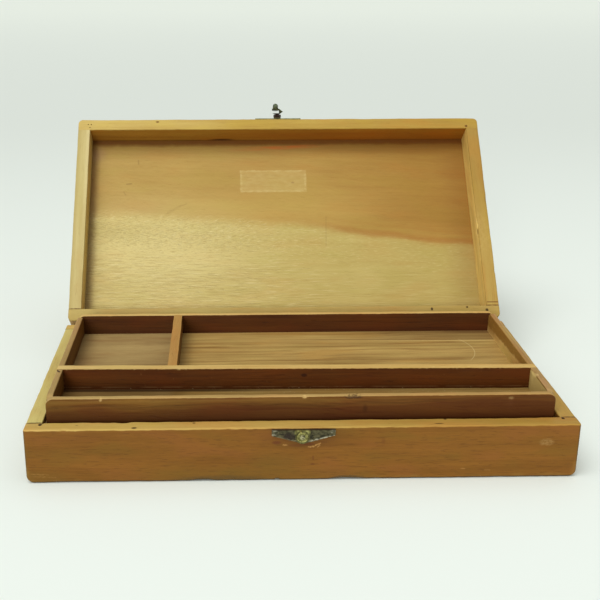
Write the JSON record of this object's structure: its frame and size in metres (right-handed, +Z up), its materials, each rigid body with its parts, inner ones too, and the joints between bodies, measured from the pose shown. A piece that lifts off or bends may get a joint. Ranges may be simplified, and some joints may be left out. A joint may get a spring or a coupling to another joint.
{
  "type": "brush box with hinged lid",
  "caption": "Shallow wooden brush box with a hinged lid that stands open, a loose divided tray resting on rails inside, and a small turn-down front latch.",
  "frame": {"origin": "middle of the underside of the base, on the surface it stands on", "axes": "+X to the right along the box's width, +Y from the latch side to the hinge side, +Z up"},
  "size_m": [0.32, 0.3068, 0.1764],
  "materials": {
    "base_wood": "worn varnish",
    "lid_wood": "worn varnish",
    "panel_wood": "bare, straight grain",
    "rail_wood": "bare",
    "tray_wood": "dark stain",
    "tray_floor_wood": "worn stain",
    "nail_steel": "dulled",
    "dark_plate": "dark tarnish",
    "latch_brass": "worn, tarnished",
    "hinge_brass": "tarnished"
  },
  "bodies": {
    "base": {"base_front_board": "base_wood", "base_rear_board": "base_wood", "base_left_board": "base_wood", "base_right_board": "base_wood", "base_bottom_panel": "panel_wood", "base_corner_nails": "nail_steel", "base_bottom_brads": "nail_steel", "tray_rail_left": "rail_wood", "tray_rail_right": "rail_wood", "tray_rail_brads": "nail_steel", "keeper_plate": "dark_plate", "keeper_shield": "latch_brass", "keeper_rivet": "latch_brass", "keeper_catch_pin": "latch_brass", "keeper_plate_pins": "dark_plate", "hinge_base_leaf_left": "hinge_brass", "hinge_base_leaf_right": "hinge_brass", "hinge_pin_left": "hinge_brass", "hinge_pin_right": "hinge_brass", "hinge_base_screws": "hinge_brass"},
    "lid": {"lid_front_board": "lid_wood", "lid_rear_board": "lid_wood", "lid_left_board": "lid_wood", "lid_right_board": "lid_wood", "lid_panel": "panel_wood", "lid_corner_nails": "nail_steel", "lid_panel_brads": "nail_steel", "hinge_lid_leaf_left": "hinge_brass", "hinge_lid_leaf_right": "hinge_brass", "hinge_lid_screws": "hinge_brass", "latch_plate": "dark_plate", "latch_pivot_pin": "latch_brass", "latch_plate_pins": "dark_plate"},
    "latch_lever": {"latch_lever": "latch_brass", "latch_knob": "latch_brass"},
    "tray": {"tray_front_wall": "tray_wood", "tray_rear_wall": "tray_wood", "tray_left_end": "tray_wood", "tray_right_end": "tray_wood", "tray_long_divider": "tray_wood", "tray_cross_divider": "tray_wood", "tray_floor": "tray_floor_wood", "tray_corner_brads": "nail_steel", "tray_floor_brads": "nail_steel"}
  },
  "joints": [
    {"name": "lid_hinge", "type": "hinge", "parent": "base", "child": "lid", "pos_m": [0, 0.088, 0.0341], "axis": [1, 0, 0], "range_deg": [0, 131]},
    {"name": "latch_turn", "type": "hinge", "parent": "lid", "child": "latch_lever", "pos_m": [-0.001, 0.2056, 0.16679], "axis": [1, 0, 0], "range_deg": [-80, 68]},
    {"name": "tray_slide", "type": "slide", "parent": "base", "child": "tray", "axis": [0, 1, 0], "range_m": [-0.0049, 0.0024]}
  ]
}
